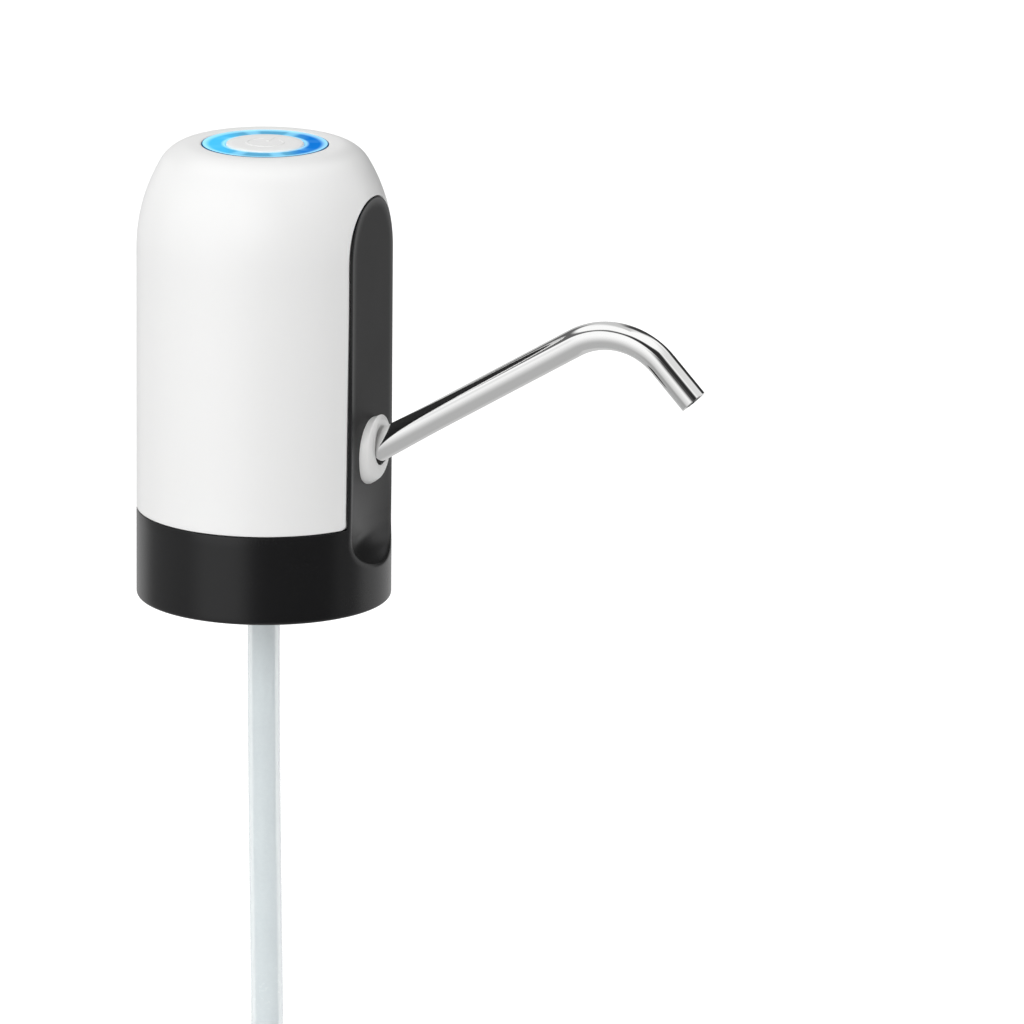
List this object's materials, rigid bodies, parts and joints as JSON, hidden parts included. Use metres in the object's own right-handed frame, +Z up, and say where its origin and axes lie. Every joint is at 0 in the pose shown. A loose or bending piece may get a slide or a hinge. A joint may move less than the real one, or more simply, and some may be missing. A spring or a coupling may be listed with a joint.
{
  "type": "electric water jug pump",
  "caption": "Battery pump for a water bottle: domed white head on a dark neck socket, bent steel spout, lit push button, hanging suction hose and an internal diaphragm pump.",
  "frame": {"origin": "centre of the neck socket's mouth, on the plane of the base band's lower rim", "axes": "+Z up along the pump's axis, +X towards the spout, +Y to the left when looking along +X"},
  "size_m": [0.1815, 0.078, 0.4995],
  "materials": {
    "white_shell": "satin gloss white moulding",
    "white_button": "satin white moulding",
    "dark_base": "satin near-black moulding",
    "blue_light": "translucent blue light guide",
    "polished_steel": "polished stainless tube",
    "grommet_white": "satin off-white moulding",
    "clear_hose": "translucent food-grade silicone",
    "soft_seal": "pale silicone rubber",
    "black_rubber": "black rubber",
    "green_board": "green circuit board",
    "chip_black": "black moulded component",
    "red_plastic": "red moulding",
    "lamp_clear": "clear lamp body",
    "cell_wrap": "blue shrink wrap",
    "bright_metal": "bright plated steel",
    "motor_steel": "zinc plated steel",
    "magnet_grey": "grey ferrite",
    "inner_plastic": "natural moulded plastic",
    "brass_parts": "brass",
    "copper_wire": "copper",
    "lead_red": "red wire sheath",
    "lead_black": "black wire sheath"
  },
  "bodies": {
    "housing": {"base_housing": "dark_base", "shell_dome": "white_shell", "light_ring": "blue_light", "control_board": "green_board", "board_parts": "chip_black", "board_lamps": "lamp_clear", "board_screws": "bright_metal", "tact_switch": "chip_black", "charge_socket": "bright_metal", "charge_board": "green_board", "charge_board_screws": "bright_metal", "battery_cell": "cell_wrap", "battery_tabs": "bright_metal", "inner_frame": "inner_plastic", "frame_screws": "bright_metal", "motor_sleeve": "black_rubber", "motor_can": "motor_steel", "motor_magnets": "magnet_grey", "motor_end_cap": "inner_plastic", "motor_brushes": "chip_black", "motor_terminals": "brass_parts", "motor_bushes": "brass_parts", "motor_screws": "bright_metal", "pump_bracket": "inner_plastic", "diaphragm": "soft_seal", "valve_plate": "inner_plastic", "inlet_valves": "black_rubber", "outlet_valve": "black_rubber", "pump_cover": "inner_plastic", "pump_screws": "bright_metal", "hose_nipple": "inner_plastic", "nipple_seal": "black_rubber", "outlet_elbow": "clear_hose", "spout_socket": "inner_plastic", "socket_screws": "bright_metal", "spout_grommet": "grommet_white", "neck_seal": "soft_seal", "neck_grip_ring": "soft_seal", "housing_screws": "bright_metal", "suction_hose": "clear_hose", "motor_leads": "lead_red", "battery_leads": "lead_red", "charge_leads": "lead_black"},
    "button": {"power_button": "white_button"},
    "plunger": {"switch_plunger": "red_plastic"},
    "spout_seat": {"spout_seals": "black_rubber"},
    "spout": {"spout_plug": "black_rubber", "spout_tube": "polished_steel"},
    "rotor": {"motor_shaft": "bright_metal", "armature_core": "motor_steel", "armature_coils": "copper_wire", "commutator": "copper_wire", "eccentric_hub": "inner_plastic", "eccentric_pin": "bright_metal"},
    "wobble": {"wobble_plate": "inner_plastic"}
  },
  "joints": [
    {"name": "button_press", "type": "slide", "parent": "housing", "child": "button", "axis": [0, 0, -1], "range_m": [0, 0.0008], "stiffness_N_per_m": 1500, "springref_m": -0.0005},
    {"name": "plunger_press", "type": "slide", "parent": "housing", "child": "plunger", "axis": [0, 0, -1], "range_m": [0, 0.0008]},
    {"name": "spout_pull", "type": "slide", "parent": "housing", "child": "spout_seat", "axis": [0.8554, 0, 0.518], "range_m": [0, 0.02]},
    {"name": "spout_swivel", "type": "hinge", "parent": "spout_seat", "child": "spout", "pos_m": [0.0358, 0, 0.04889], "axis": [0.8554, 0, 0.518], "continuous": true},
    {"name": "rotor_spin", "type": "hinge", "parent": "housing", "child": "rotor", "pos_m": [0, 0, 0.07], "axis": [0, 0, 1], "continuous": true},
    {"name": "crank_wobble", "type": "hinge", "parent": "rotor", "child": "wobble", "pos_m": [0, 0, 0.05346], "axis": [0.1045, 0, 0.9945], "continuous": true, "deforming": ["diaphragm"]}
  ],
  "couplings": [
    {"joint": "plunger_press", "follows": "button_press", "ratio": 1},
    {"joint": "crank_wobble", "follows": "rotor_spin", "ratio": -1}
  ]
}
